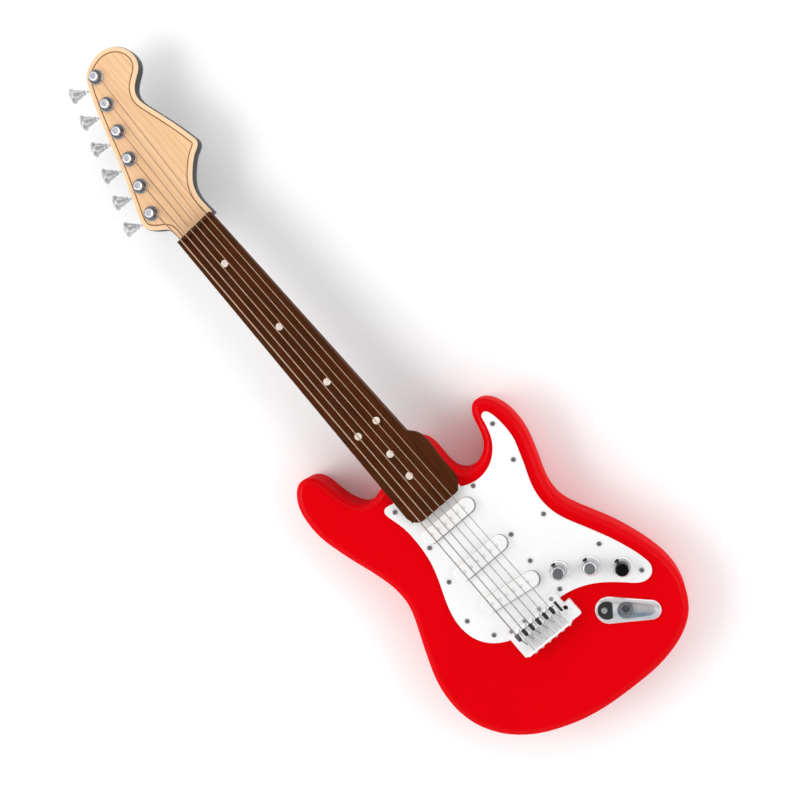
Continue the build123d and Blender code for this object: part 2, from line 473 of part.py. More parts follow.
def boat(x1, r1, x2, r2, za, zb):
    # two unequal round ends joined by their common tangents
    c = (r1 - r2) / (x2 - x1)
    k = math.sqrt(1 - c * c)
    a, b = Vector(x1 + r1 * c, r1 * k, za), Vector(x2 + r2 * c, r2 * k, za)
    a_, b_ = Vector(a.X, -a.Y, za), Vector(b.X, -b.Y, za)
    w = Wire([ThreePointArc(a, Vector(x1 - r1, 0, za), a_), Line(a_, b_),
              ThreePointArc(b_, Vector(x2 + r2, 0, za), b), Line(b, a)])
    return JL * extrude(make_face(w), zb - za, dir=(0, 0, 1))


JR1, JR2 = JACK_W / 2, JACK_END_R
JX1, JX2 = JR1 - JACK_L / 2, JACK_L / 2 - JR2
F_CUT.append(boat(JX1, JR1 - 1.9, JX2, JR2 - 1.9, 30, 40))
jp = boat(JX1, JR1, JX2, JR2, BODY_T, 39.8)
jp = chamfer(edges_at(jp, 39.8), 0.7)
jp += boat(JX1, JR1 - 2.0, JX2, JR2 - 2.0, 31.0, 39.0)
jp -= boat(-1.5, 6.8, 16.6, 4.4, 32.6, 42)
# seat for the black insert
INS = JL * (Pos(-16.0, 0, 38.6) * Cylinder(7.2, 6, align=(Align.CENTER, Align.CENTER, Align.MIN)))
INS_CUT = JL * (Pos(-19.0, 0, 40) * Box(15.0, 20, 10))
ins_shape = INS & INS_CUT
jp -= ins_shape
jack_insert = ins_shape & (JL * (Pos(-16, 0, 39.2) * Box(30, 30, 1.2)))
jack_insert = jack_insert.solids()[0]
sx, sy = (JL * Pos(-18.0, 0, 0)).position.X, (JL * Pos(-18.0, 0, 0)).position.Y
jack_screw = pan_screw(sx, sy, 39.8, rh=2.3, hh=1.1, rs=1.2, depth=7.0)
jack_insert -= cyl(sx, sy, 30, 41, 1.3)
jp -= cyl(sx, sy, 30, 41, 1.26)
jx, jy = (JL * Pos(-1.5, 0, 0)).position.X, (JL * Pos(-1.5, 0, 0)).position.Y
jp -= cyl(jx, jy, 25, 40, 4.6)
jack_socket = cyl(jx, jy, 12.0, 33.6, 4.5) + cyl(jx, jy, 33.6 - 1.0, 34.6, 5.6) + cyl(jx, jy, 28.6, 31.0, 6.2)
jack_socket -= cyl(jx, jy, 13.4, 36.0, JACK_SOCKET_R)
JACK_POS = (jx, jy)

# -------------------------------------------------------- electronics, inside
# speaker against the back shell's grille
B_CUT.append(cyl(SPK_C[0], SPK_C[1], 0, WALL, 1.3))
for ring, n in ((6.0, 6), (12.0, 12), (18.0, 18), (23.6, 24)):
    for i in range(n):
        a = 2 * math.pi * i / n
        B_CUT.append(cyl(SPK_C[0] + ring * math.cos(a), SPK_C[1] + ring * math.sin(a), 0, WALL, 1.3))
spk_frame = cyl(*SPK_C, WALL, WALL + 2.2, SPK_R) - cyl(*SPK_C, WALL, WALL + 5, 25.0)
bowl = Solid.make_cone(SPK_R - 3.0, 13.0, 9.0, Plane(origin=(SPK_C[0], SPK_C[1], WALL + 2.2)))
bowl_in = Solid.make_cone(SPK_R - 4.2, 11.6, 9.0, Plane(origin=(SPK_C[0], SPK_C[1], WALL + 2.0)))
spk_frame = spk_frame + (bowl - bowl_in - cyl(*SPK_C, 0, 30, 9.0))
spk_magnet = cyl(*SPK_C, WALL + 11.2, WALL + 18.4, 14.0)
spk_cone = Solid.make_cone(23.8, 9.6, 7.2, Plane(origin=(SPK_C[0], SPK_C[1], WALL + 1.4))) - \
    Solid.make_cone(22.9, 8.7, 7.2, Plane(origin=(SPK_C[0], SPK_C[1], WALL + 1.0)))
spk_cone += cyl(*SPK_C, WALL + 6.6, WALL + 8.4, 8.0)
spk_screws = []
for i in range(4):
    a = math.radians(45 + 90 * i)
    x, y = SPK_C[0] + 32.0 * math.cos(a), SPK_C[1] + 32.0 * math.sin(a)
    B_ADD.append(cyl(x, y, WALL, WALL + 2.2, 3.0))
    B_CUT.append(cyl(x, y, WALL - 1.0, WALL + 3, 1.1))
    s = cyl(x, y, WALL + 2.2, WALL + 3.6, 4.2) + cyl(x, y, WALL - 0.9, WALL + 2.2, 1.05)
    spk_screws.append(s)

# circuit board on four pegs
PCB = (-82.0, -54.0, -26.0, 26.0)
PCB_Z = 9.0
pcb = box(PCB[0], PCB[1], PCB[2], PCB[3], PCB_Z, PCB_Z + 1.6)
comp = [box(-74.0, -62.0, -6.0, 6.0, PCB_Z + 1.6, PCB_Z + 3.4), cyl(-60.0, 14.0, PCB_Z + 1.6, PCB_Z + 9.6, 3.0),
        cyl(-60.0, -14.0, PCB_Z + 1.6, PCB_Z + 9.6, 3.0), box(-78.0, -70.0, 12.0, 16.0, PCB_Z + 1.6, PCB_Z + 5.0),
        box(-78.0, -70.0, -18.0, -14.0, PCB_Z + 1.6, PCB_Z + 5.0), cyl(-74.0, 20.4, PCB_Z + 1.6, PCB_Z + 4.0, 1.8)]
for x in (PCB[0] + 3.0, PCB[1] - 3.0):
    for y in (PCB[2] + 3.0, PCB[3] - 3.0):
        B_ADD.append(cyl(x, y, WALL - 0.5, PCB_Z, 2.4))
        B_ADD.append(cyl(x, y, PCB_Z - 0.5, PCB_Z + 2.6, 1.2))
        pcb -= cyl(x, y, 5, 15, 1.3)

# battery compartment, three AA cells, door from the back
bx0, bx1, by0, by1 = BAT_X0, BAT_X1, BAT_Y0, BAT_Y1
B_ADD.append(box(bx0 - 1.6, bx1 + 1.6, by0 - 1.6, by1 + 1.6, WALL - 0.4, PART_Z))
B_CUT.append(box(bx0, bx1, by0, by1, -1, PART_Z - 1.2))
DOOR_T = 2.4
LEDGES = [box(bx0 - 0.1, bx0 + 1.2, by0, by1, DOOR_T + 0.1, DOOR_T + 1.6), box(bx1 - 1.2, bx1 + 0.1, by0, by1, DOOR_T + 0.1, DOOR_T + 1.6)]
door = box(bx0 + 0.2, bx1 - 0.2, by0 + 0.2, by1 - 0.2, 0, DOOR_T)
door = chamfer(edges_at(door, 0), 0.4)
for i in range(5):
    door -= box(-14.0, -6.0 + 8.0 - 8.0, by0 + 6.0 + i * 1.8, by0 + 6.8 + i * 1.8, 0, 0.5)
CELL_R = 7.15
cells = []
for i in range(3):
    cy_ = by0 + 0.9 + CELL_R + i * 15.9 + 0.2
    dirn = 1 if i % 2 == 0 else -1
    xm = (bx0 + bx1) / 2
    c = Pos(xm - 0.4 * dirn, cy_, 10.4) * Rot(0, 90, 0) * Cylinder(CELL_R, 48.6)
    c += Pos(xm - 0.4 * dirn + dirn * (24.3 + 0.55), cy_, 10.4) * Rot(0, 90, 0) * Cylinder(2.7, 1.1)
    cells.append(c)
contacts = []
for i in range(3):
    cy_ = by0 + 0.9 + CELL_R + i * 15.9 + 0.2
    for sgn, xw in ((1, bx0), (-1, bx1)):
        contacts.append(box(min(xw, xw + sgn * 0.5), max(xw, xw + sgn * 0.5), cy_ - 5.4, cy_ + 5.4, 5.4, 15.4))

# power switch: slider in a recess of the back
sx_, sy_ = SW_C
B_ADD.append(box(sx_ - 11.5, sx_ + 11.5, sy_ - 6.5, sy_ + 6.5, WALL - 1.0, 5.2))
B_CUT.append(box(sx_ - 9.0, sx_ + 9.0, sy_ - 4.0, sy_ + 4.0, -1, 3.4))
B_CUT.append(box(sx_ - 5.4, sx_ + 5.4, sy_ - 2.2, sy_ + 2.2, -1, 6.0))
sw_housing = box(sx_ - 10.0, sx_ + 10.0, sy_ - 4.4, sy_ + 4.4, 5.2, 12.0) - box(sx_ - 7.0, sx_ + 7.0, sy_ - 2.9, sy_ + 2.9, 5.0, 10.6)
slider = box(sx_ - 4.4, sx_ - 0.6, sy_ - 1.9, sy_ + 1.9, 0.8, 6.0) + box(sx_ - 5.2, sx_ + 0.2, sy_ - 2.6, sy_ + 2.6, 5.5, 9.8)
for i in range(3):
    slider -= box(sx_ - 3.9 + i * 1.2, sx_ - 3.5 + i * 1.2, sy_ - 2, sy_ + 2, 0.7, 1.2)

# ------------------------------------------------- join and cut the big parts
front = (front + F_ADD) - F_CUT
back = (back + B_ADD) - B_CUT
back = back + LEDGES
guard = guard - G_CUT

# ---------------------------------------------------------------------- write
write("body_front_shell", front)
write("body_back_shell", back)
write("shell_screws", *shell_screws, *neck_screws)
write("neck", neck)
write("fingerboard", fb)
write("position_dots", *marks)
write("string_nut", nut)
write("headstock_core", head_core)
write("headstock_face", head_plate)
for k in range(6):
    write("string_%d" % (k + 1), strings[k])
    write("tuner_post_%d" % (k + 1), tposts[k])
    write("tuner_worm_%d" % (k + 1), tworms[k])
    write("tuner_button_%d" % (k + 1), tbuttons[k])
write("tuner_bushings", *bushings)
write("tuner_housings", *housings)
write("tuner_screws", *tuner_screws)
write("pickguard", guard)
write("face_screws", *guard_screws, jack_screw)
for nme, p in pickups.items():
    write(nme, p)
for i in range(3):
    write("knob_%d" % (i + 1), knobs[i])
write("potentiometers", *pots)
write("bridge_plate", bp)
write("bridge_saddles", *saddles)
write("bridge_screws", *bscrews)
write("jack_plate", jp)
write("jack_insert", jack_insert)
write("jack_socket", jack_socket)
write("speaker_frame", spk_frame, spk_magnet)
write("speaker_cone", spk_cone)
write("speaker_screws", *spk_screws)
write("circuit_board", pcb, *comp)
write("battery_cells", *cells)
write("battery_contacts", *contacts)
write("battery_door", door)
write("switch_housing", sw_housing)
write("switch_slider", slider)
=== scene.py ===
import math

import bpy
import numpy as np
from mathutils import Matrix, Vector
from mathutils.geometry import delaunay_2d_cdt


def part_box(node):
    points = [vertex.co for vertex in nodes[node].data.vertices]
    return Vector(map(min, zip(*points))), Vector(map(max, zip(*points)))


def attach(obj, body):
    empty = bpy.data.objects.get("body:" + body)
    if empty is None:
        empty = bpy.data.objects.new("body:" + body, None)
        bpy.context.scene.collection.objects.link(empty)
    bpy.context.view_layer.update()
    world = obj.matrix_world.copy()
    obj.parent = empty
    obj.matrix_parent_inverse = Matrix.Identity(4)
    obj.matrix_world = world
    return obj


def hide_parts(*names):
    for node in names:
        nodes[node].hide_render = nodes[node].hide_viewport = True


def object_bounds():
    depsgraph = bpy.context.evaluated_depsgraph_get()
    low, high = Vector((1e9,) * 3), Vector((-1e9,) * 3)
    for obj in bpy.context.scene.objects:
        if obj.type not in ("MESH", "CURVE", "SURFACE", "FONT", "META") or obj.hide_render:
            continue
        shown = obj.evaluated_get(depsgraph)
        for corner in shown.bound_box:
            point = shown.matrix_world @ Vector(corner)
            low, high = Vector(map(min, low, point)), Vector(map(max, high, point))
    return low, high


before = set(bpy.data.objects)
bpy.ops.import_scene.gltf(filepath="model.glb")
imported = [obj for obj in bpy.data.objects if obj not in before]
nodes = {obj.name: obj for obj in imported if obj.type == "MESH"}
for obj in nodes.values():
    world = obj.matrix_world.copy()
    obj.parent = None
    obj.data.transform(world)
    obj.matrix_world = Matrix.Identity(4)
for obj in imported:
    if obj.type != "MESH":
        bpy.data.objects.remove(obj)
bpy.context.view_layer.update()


scene = bpy.context.scene
MM = 0.001

# ------------------------------------------------------------------ camera
cam_data = bpy.data.cameras.new("main_camera")
cam_data.lens = 51.75
cam_data.sensor_width = 36.0
cam_data.clip_start = 0.01
cam_data.clip_end = 50.0
cam = bpy.data.objects.new("main_camera", cam_data)
scene.collection.objects.link(cam)
cam.matrix_world = Matrix((
    (0.734578, 0.653536, 0.182445, 0.19725),
    (-0.654443, 0.753413, -0.06382, 0.14294),
    (-0.179165, -0.072519, 0.981143, 0.92371),
    (0.0, 0.0, 0.0, 1.0),
))
scene.camera = cam
scene.view_settings.view_transform = "Standard"

# ------------------------------------------------------------------ light
world = bpy.data.worlds.new("studio")
scene.world = world
world.use_nodes = True
wn, wl = world.node_tree.nodes, world.node_tree.links
wn.clear()
w_out = wn.new("ShaderNodeOutputWorld")
w_bg = wn.new("ShaderNodeBackground")
w_bg.inputs["Strength"].default_value = 1.0
w_tc = wn.new("ShaderNodeTexCoord")
w_sep = wn.new("ShaderNodeSeparateXYZ")
w_ramp = wn.new("ShaderNodeValToRGB")
wl.new(w_tc.outputs["Generated"], w_sep.inputs[0])
wl.new(w_sep.outputs["Z"], w_ramp.inputs["Fac"])
wl.new(w_ramp.outputs["Color"], w_bg.inputs["Color"])
wl.new(w_bg.outputs[0], w_out.inputs[0])
el = w_ramp.color_ramp.elements
el[0].position, el[0].color = 0.0, (0.86, 0.86, 0.87, 1)
el[1].position, el[1].color = 1.0, (0.16, 0.16, 0.165, 1)
for pos, v in ((0.10, 0.94), (0.30, 1.50), (0.64, 1.50), (0.82, 0.34)):
    e = el.new(pos)
    e.color = (v, v, v * 1.01, 1)


def area(name, loc, target, size, energy, colour=(1, 1, 1), size_y=None):
    d = bpy.data.lights.new(name, "AREA")
    d.shape = "RECTANGLE"
    d.size = size
    d.size_y = size_y or size
    d.energy = energy
    d.color = colour
    o = bpy.data.objects.new(name, d)
    scene.collection.objects.link(o)
    o.location = loc
    o.rotation_euler = (Vector(target) - Vector(loc)).to_track_quat("-Z", "Y").to_euler()
    return o


area("key", (-0.95, 0.75, 0.95), (0, 0.2, 0), 1.1, 8.5, (1.0, 0.985, 0.97), 0.8)
area("fill", (1.15, -0.55, 0.75), (0, 0.2, 0), 1.2, 4.6, (0.97, 0.985, 1.0), 0.9)


# ------------------------------------------------------------------ node helpers
class Mat:
    """A Principled material with small helpers for its procedural nodes."""

    def __init__(self, name):
        self.m = bpy.data.materials.new(name)
        self.m.use_nodes = True
        self.nt = self.m.node_tree
        self.nt.nodes.clear()
        self.out = self.nt.nodes.new("ShaderNodeOutputMaterial")
        self.b = self.nt.nodes.new("ShaderNodeBsdfPrincipled")
        self.nt.links.new(self.b.outputs[0], self.out.inputs[0])
        self.tc = self.nt.nodes.new("ShaderNodeTexCoord")
        self.obj = self.tc.outputs["Object"]

    def set(self, **kw):
        for k, v in kw.items():
            self.b.inputs[k.replace("_", " ")].default_value = v
        return self

    def link(self, a, b):
        self.nt.links.new(a, b)

    def node(self, kind, **kw):
        n = self.nt.nodes.new(kind)
        for k, v in kw.items():
            setattr(n, k, v)
        return n

    def mapped(self, scale, loc=(0, 0, 0), rot=(0, 0, 0)):
        n = self.node("ShaderNodeMapping")
        n.inputs["Scale"].default_value = scale
        n.inputs["Location"].default_value = loc
        n.inputs["Rotation"].default_value = rot
        self.link(self.obj, n.inputs["Vector"])
        return n.outputs[0]

    def noise(self, vec, scale, detail=4.0, rough=0.5, distort=0.0):
        n = self.node("ShaderNodeTexNoise")
        n.inputs["Scale"].default_value = scale
        n.inputs["Detail"].default_value = detail
        n.inputs["Roughness"].default_value = rough
        n.inputs["Distortion"].default_value = distort
        self.link(vec, n.inputs["Vector"])
        return n.outputs["Fac"]

    def wave(self, vec, scale, distort=0.0, detail=2.0, direction="X", profile="SIN"):
        n = self.node("ShaderNodeTexWave", wave_type="BANDS", bands_direction=direction, wave_profile=profile)
        n.inputs["Scale"].default_value = scale
        n.inputs["Distortion"].default_value = distort
        n.inputs["Detail"].default_value = detail
        self.link(vec, n.inputs["Vector"])
        return n.outputs["Fac"]

    def ramp(self, fac, stops, interp="LINEAR"):
        n = self.node("ShaderNodeValToRGB")
        n.color_ramp.interpolation = interp
        e = n.color_ramp.elements
        while len(e) < len(stops):
            e.new(0.5)
        for i, (p, c) in enumerate(stops):
            e[i].position = p
            e[i].color = (*c, 1) if len(c) == 3 else c
        self.link(fac, n.inputs["Fac"])
        return n.outputs["Color"]

    def ranged(self, fac, a, b, lo=0.0, hi=1.0, smooth=False):
        n = self.node("ShaderNodeMapRange")
        if smooth:
            n.interpolation_type = "SMOOTHSTEP"
        n.inputs["From Min"].default_value = lo
        n.inputs["From Max"].default_value = hi
        n.inputs["To Min"].default_value = a
        n.inputs["To Max"].default_value = b
        self.link(fac, n.inputs["Value"])
        return n.outputs["Result"]

    def mix(self, fac, a, b, blend="MIX"):
        n = self.node("ShaderNodeMix", data_type="RGBA", blend_type=blend)
        n.inputs[0].default_value = 0.5
        for s, v in ((0, fac), (6, a), (7, b)):
            if isinstance(v, (int, float)):
                n.inputs[s].default_value = v
            elif isinstance(v, tuple):
                n.inputs[s].default_value = (*v, 1)
            else:
                self.link(v, n.inputs[s])
        return n.outputs[2]

    def math(self, op, a, b=0.0, clamp=False):
        n = self.node("ShaderNodeMath", operation=op, use_clamp=clamp)
        for i, v in enumerate((a, b)):
            if isinstance(v, (int, float)):
                n.inputs[i].default_value = v
            else:
                self.link(v, n.inputs[i])
        return n.outputs[0]

    def xyz(self, vec=None):
        n = self.node("ShaderNodeSeparateXYZ")
        self.link(vec or self.obj, n.inputs[0])
        return n.outputs

    def attr(self, name):
        return self.node("ShaderNodeAttribute", attribute_name=name).outputs["Fac"]

    def bump(self, height, strength, distance=0.0002, under=None):
        n = self.node("ShaderNodeBump")
        n.inputs["Strength"].default_value = strength
        n.inputs["Distance"].default_value = distance
        self.link(height, n.inputs["Height"])
        if under is not None:
            self.link(under, n.inputs["Normal"])
        return n.outputs[0]

    def soft_edges(self, radius):
        n = self.node("ShaderNodeBevel", samples=4)
        n.inputs["Radius"].default_value = radius
        return n.outputs[0]

    def colour(self, socket):
        self.link(socket, self.b.inputs["Base Color"])
        return self

    def rough(self, socket):
        self.link(socket, self.b.inputs["Roughness"])
        return self

    def normal(self, socket):
        self.link(socket, self.b.inputs["Normal"])
        return self


M = {}


def keep(mat, name):
    M[name] = mat.m
    return mat


# ------------------------------------------------------------------ materials
# moulded gloss red: faint depth in the pigment, orange peel in the lacquer
a = keep(Mat("red_gloss_plastic"), "red_gloss_plastic")
drift = a.noise(a.obj, 9.0, 3.0, 0.55)
fine = a.noise(a.obj, 900.0, 2.0, 0.6)
peel = a.noise(a.obj, 260.0, 2.0, 0.4)
a.colour(a.mix(a.ranged(fine, 0.0, 0.22, 0.35, 0.7),
               a.ramp(drift, [(0.25, (0.63, 0.0003, 0.0028)), (0.75, (0.69, 0.0004, 0.0036))]),
               (0.75, 0.0009, 0.0058)))
a.rough(a.ranged(a.noise(a.obj, 120.0, 4.0, 0.6), 0.13, 0.22, 0.3, 0.7))
a.normal(a.bump(peel, 0.05, 0.0002, a.soft_edges(0.0006)))
a.set(Coat_Weight=0.10, Coat_Roughness=0.05, Specular_IOR_Level=0.0)

# white laminate of the guard and the pickup covers
for name, base, warm, rough_lo, rough_hi in (
    ("white_plastic", (0.86, 0.855, 0.85), (0.90, 0.895, 0.885), 0.28, 0.40),
    ("pickup_white", (0.84, 0.835, 0.825), (0.885, 0.88, 0.87), 0.22, 0.34),
):
    a = keep(Mat(name), name)
    cloud = a.noise(a.obj, 34.0, 5.0, 0.6, 0.6)
    grit = a.noise(a.obj, 1400.0, 2.0, 0.6)
    a.colour(a.mix(a.ranged(grit, 0.0, 0.3, 0.4, 0.75), a.ramp(cloud, [(0.3, base), (0.72, warm)]), (0.80, 0.80, 0.795)))
    a.rough(a.ranged(a.noise(a.obj, 300.0, 3.0, 0.6), rough_lo, rough_hi, 0.3, 0.7))
    a.normal(a.bump(grit, 0.06, 0.0001, a.soft_edges(0.00035)))
    a.set(Specular_IOR_Level=0.4)

# maple print: long fine grain, paler band outside the engraved line; a painted highlight along the rounded edge and
# painted shade in the engraved groove
def maple(name, carved):
    a = keep(Mat(name), name)
    streak = a.noise(a.mapped((1250.0, 34.0, 300.0), rot=(0, 0, 0.30)), 1.0, 5.0, 0.62, 0.4)
    wide = a.noise(a.mapped((170.0, 5.0, 60.0), (3.1, 0.4, 0)), 1.0, 3.0, 0.5, 0.35)
    rings = a.wave(a.mapped((1.0, 0.10, 1.0), rot=(0, 0, 0.28)), 70.0, 6.5, 3.0)
    wood = a.mix(a.ranged(streak, 0.0, 0.75, 0.42, 0.72), (0.84, 0.545, 0.305), (0.70, 0.395, 0.195))
    wood = a.mix(a.ranged(wide, 0.0, 0.55, 0.38, 0.68), wood, (0.87, 0.575, 0.345))
    wood = a.mix(a.ranged(rings, 0.0, 0.38, 0.62, 1.0), wood, (0.66, 0.35, 0.175))
    grain = a.ranged(streak, 1.0, 0.0, 0.4, 0.75)
    if carved:
        d = a.attr("rim_mm")
        pale = a.mix(a.ranged(streak, 0.0, 0.6, 0.45, 0.75), (0.87, 0.60, 0.365), (0.80, 0.50, 0.275))
        band = a.ranged(d, 1.0, 0.0, 3.3, 3.5)
        wood = a.mix(band, wood, pale)
        # painted highlight: lighter along the rounded-over edge of the face
        wood = a.mix(a.ranged(d, 0.75, 0.0, 0.0, 0.5), wood, (0.90, 0.74, 0.56))
        # painted shade: dark brown in the engraved groove
        groove = a.math("MULTIPLY", a.ranged(d, 0.0, 1.0, 3.44, 3.64), a.ranged(d, 1.0, 0.0, 4.34, 4.56))
        wood = a.mix(groove, wood, (0.26, 0.098, 0.030))
    a.colour(wood)
    a.rough(a.ranged(streak, 0.34, 0.5, 0.35, 0.7))
    a.normal(a.bump(grain, 0.12, 0.0001))
    a.set(Coat_Weight=0.15, Coat_Roughness=0.18, Specular_IOR_Level=0.35)
    return a


maple("maple_face", True)
maple("maple_plain", False)

# stained brown fingerboard and neck: open streaks along the neck, reddish and greenish drift
for name, dark, mid, light, lo, hi in (
    ("fingerboard_brown", (0.033, 0.0088, 0.0022), (0.060, 0.0160, 0.0040), (0.096, 0.030, 0.010), 0.38, 0.54),
    ("brown_plastic", (0.040, 0.014, 0.0055), (0.064, 0.022, 0.0085), (0.088, 0.031, 0.013), 0.28, 0.42),
):
    a = keep(Mat(name), name)
    streak = a.noise(a.mapped((1100.0, 30.0, 700.0)), 1.0, 6.0, 0.65)
    drift = a.noise(a.mapped((90.0, 26.0, 60.0)), 1.0, 4.0, 0.6, 0.5)
    red = a.noise(a.mapped((160.0, 60.0, 60.0), (5, 2, 1)), 1.0, 3.0, 0.6)
    wood = a.ramp(streak, [(0.28, dark), (0.5, mid), (0.74, light)])
    wood = a.mix(a.ranged(red, 0.0, 0.5, 0.48, 0.72), wood, (0.105, 0.021, 0.008))
    wood = a.mix(a.ranged(drift, 0.0, 0.42, 0.52, 0.78), wood, (0.040, 0.024, 0.010))
    a.colour(wood)
    a.rough(a.ranged(streak, lo, hi, 0.3, 0.75))
    a.normal(a.bump(streak, 0.16, 0.00012, a.soft_edges(0.0004)))
    a.set(Specular_IOR_Level=0.04)

# black moulded plastic with a fine spark-eroded grain
a = keep(Mat("black_plastic"), "black_plastic")
grit = a.noise(a.obj, 1600.0, 3.0, 0.6)
a.colour(a.ramp(grit, [(0.3, (0.010, 0.0115, 0.0115)), (0.75, (0.030, 0.033, 0.033))]))
a.rough(a.ranged(a.noise(a.obj, 240.0, 3.0, 0.6), 0.32, 0.48, 0.3, 0.7))
a.normal(a.bump(grit, 0.18, 0.0001, a.soft_edges(0.0004)))
a.set(Specular_IOR_Level=0.5)

# cream dots
a = keep(Mat("dot_cream"), "dot_cream")
pearl = a.noise(a.obj, 420.0, 4.0, 0.6, 1.2)
a.colour(a.ramp(pearl, [(0.3, (0.70, 0.55, 0.46)), (0.55, (0.84, 0.74, 0.66)), (0.8, (0.93, 0.87, 0.82))]))
a.rough(a.ranged(pearl, 0.2, 0.36, 0.3, 0.7))
a.normal(a.bump(pearl, 0.05, 0.0001))


def metal(name, lo, hi, rough_lo, rough_hi, scale=260.0, tint=(1, 1, 1), bump=0.04, metallic=1.0, edge=0.0003, brushed=None):
    a = keep(Mat(name), name)
    vec = a.mapped(brushed) if brushed else a.obj
    n = a.noise(vec, 1.0 if brushed else scale, 5.0, 0.6)
    smear = a.noise(a.obj, 70.0, 3.0, 0.5)
    dark = tuple(lo * t for t in tint)
    light = tuple(hi * t for t in tint)
    a.colour(a.mix(a.ranged(smear, 0.0, 0.35, 0.45, 0.75), a.ramp(n, [(0.3, dark), (0.7, light)]), dark))
    a.rough(a.ranged(a.mix(0.5, n, smear), rough_lo, rough_hi, 0.35, 0.65))
    a.normal(a.bump(n, bump, 0.0001, a.soft_edges(edge)))
    a.set(Metallic=metallic)
    return a


# jack plate: painted reflections, stripes of white, light blue and a dull red from the body across the basin and along
# the rim, laid over plain steel
a = keep(Mat("chrome_plate"), "chrome_plate")
ax = a.node("ShaderNodeVectorRotate", rotation_type="Z_AXIS")
ax.inputs["Center"].default_value = (0.0596, -0.0366, 0.0)
ax.inputs["Angle"].default_value = math.radians(38.3)
a.link(a.obj, ax.inputs["Vector"])
loc = a.xyz(ax.outputs[0])
u = a.ranged(loc[0], 0.0, 1.0, 0.0596 - 0.025, 0.0596 + 0.025)
v = a.ranged(loc[1], 0.0, 1.0, -0.0366 - 0.0105, -0.0366 + 0.0105)
skew = a.math("ADD", v, a.math("MULTIPLY", u, 0.22))
painted_reflections = a.ramp(skew, [(0.20, (0.80, 0.80, 0.81)), (0.42, (0.30, 0.42, 0.52)), (0.52, (0.72, 0.78, 0.84)), (0.64, (0.95, 0.93, 0.92)),
                      (0.76, (0.98, 0.93, 0.90)), (0.86, (0.36, 0.20, 0.19)), (0.96, (0.90, 0.88, 0.87))])
smear = a.noise(a.obj, 260.0, 4.0, 0.6)
steel = a.ramp(smear, [(0.3, (0.80, 0.80, 0.82)), (0.7, (0.92, 0.92, 0.94))])
z_in = a.ranged(loc[2], 1.0, 0.0, 0.0384, 0.0392)
rim = a.ranged(loc[2], 0.0, 1.0, 0.0396, 0.0398)
a.colour(a.mix(a.math("MAXIMUM", a.math("MULTIPLY", z_in, 0.85), a.math("MULTIPLY", rim, 0.35)), steel, painted_reflections))
a.rough(a.ranged(smear, 0.08, 0.18, 0.3, 0.7))
a.normal(a.bump(smear, 0.05, 0.0001, a.soft_edges(0.0003)))
a.set(Metallic=0.45)
metal("bridge_chrome", 0.90, 0.965, 0.26, 0.38, 160.0, (1.0, 0.995, 0.99), bump=0.02, metallic=0.12)
metal("steel_shaft", 0.62, 0.80, 0.16, 0.28, 500.0, (0.98, 0.99, 1.02))
metal("steel_pressing", 0.46, 0.62, 0.26, 0.42, 300.0, (1, 1, 1.01))
metal("steel_screws", 0.50, 0.66, 0.22, 0.38, 700.0, (1, 0.99, 0.97))
metal("screw_dark", 0.20, 0.34, 0.26, 0.40, 900.0, (1, 0.97, 0.95), metallic=0.7)
metal("button_grey", 0.50, 0.72, 0.20, 0.32, 300.0, (1.0, 1.0, 1.01), metallic=0.45, brushed=(260.0, 260.0, 900.0))
metal("post_cap", 0.74, 0.90, 0.12, 0.24, 600.0, (0.95, 0.97, 1.04), metallic=0.6)
metal("bushing_dark", 0.26, 0.44, 0.14, 0.26, 500.0, (0.98, 0.99, 1.02), metallic=0.9)

# wound strings: a tight helical lay along each string, coppery over a steel core. The change of colour with position is
# painted light: grey over the guard and coppery over the fingerboard is painted reflection, dark brown past the nut is
# painted shade.
a = keep(Mat("string_wire"), "string_wire")
lay = a.wave(a.mapped((0.25, 1.0, 0.25)), 420.0, 0.0, 0.0, "Y")
tarnish = a.noise(a.mapped((300.0, 40.0, 300.0)), 1.0, 4.0, 0.6)
# painted reflection: grey over the guard turning coppery over the fingerboard
along = a.ranged(a.xyz()[1], 0.0, 1.0, 0.095, 0.135)
plainer = a.ramp(tarnish, [(0.3, (0.24, 0.23, 0.225)), (0.7, (0.36, 0.35, 0.345))])
copper = a.ramp(tarnish, [(0.3, (0.40, 0.27, 0.18)), (0.7, (0.54, 0.385, 0.28))])
wire = a.mix(along, plainer, copper)
# painted shade: the strings darken to brown past the nut, over the headstock
wire = a.mix(a.ranged(a.xyz()[1], 0.0, 1.0, 0.412, 0.418), wire, (0.34, 0.19, 0.12))
a.colour(a.mix(a.ranged(lay, 0.0, 0.35, 0.2, 0.9), wire, (0.22, 0.17, 0.15)))
a.rough(a.ranged(tarnish, 0.26, 0.42, 0.3, 0.7))
a.normal(a.bump(lay, 0.5, 0.0001))
a.set(Metallic=0.8)

# knobs: clear grey skirt, capped in three finishes
def knob(name, cap_lo, cap_hi, metallic):
    a = keep(Mat(name), name)
    z = a.xyz()[2]
    cap = a.ranged(z, 0.0, 1.0, 0.0426, 0.0428)
    n = a.noise(a.obj, 600.0, 4.0, 0.6)
    skirt = a.ramp(n, [(0.3, (0.74, 0.75, 0.76)), (0.7, (0.88, 0.885, 0.89))])
    capc = a.ramp(n, [(0.3, cap_lo), (0.7, cap_hi)])
    a.colour(a.mix(cap, skirt, capc))
    a.rough(a.ranged(n, 0.10, 0.22, 0.3, 0.7))
    a.normal(a.bump(n, 0.05, 0.0001, a.soft_edges(0.0003)))
    a.link(a.ranged(cap, 0.35, metallic), a.b.inputs["Metallic"])
    return a


knob("knob_light", (0.39, 0.40, 0.42), (0.57, 0.58, 0.60), 0.9)
knob("knob_mid", (0.50, 0.51, 0.52), (0.70, 0.71, 0.72), 0.9)
knob("knob_black", (0.005, 0.005, 0.006), (0.018, 0.018, 0.020), 0.75)
M["knob_chrome"] = M["knob_light"]

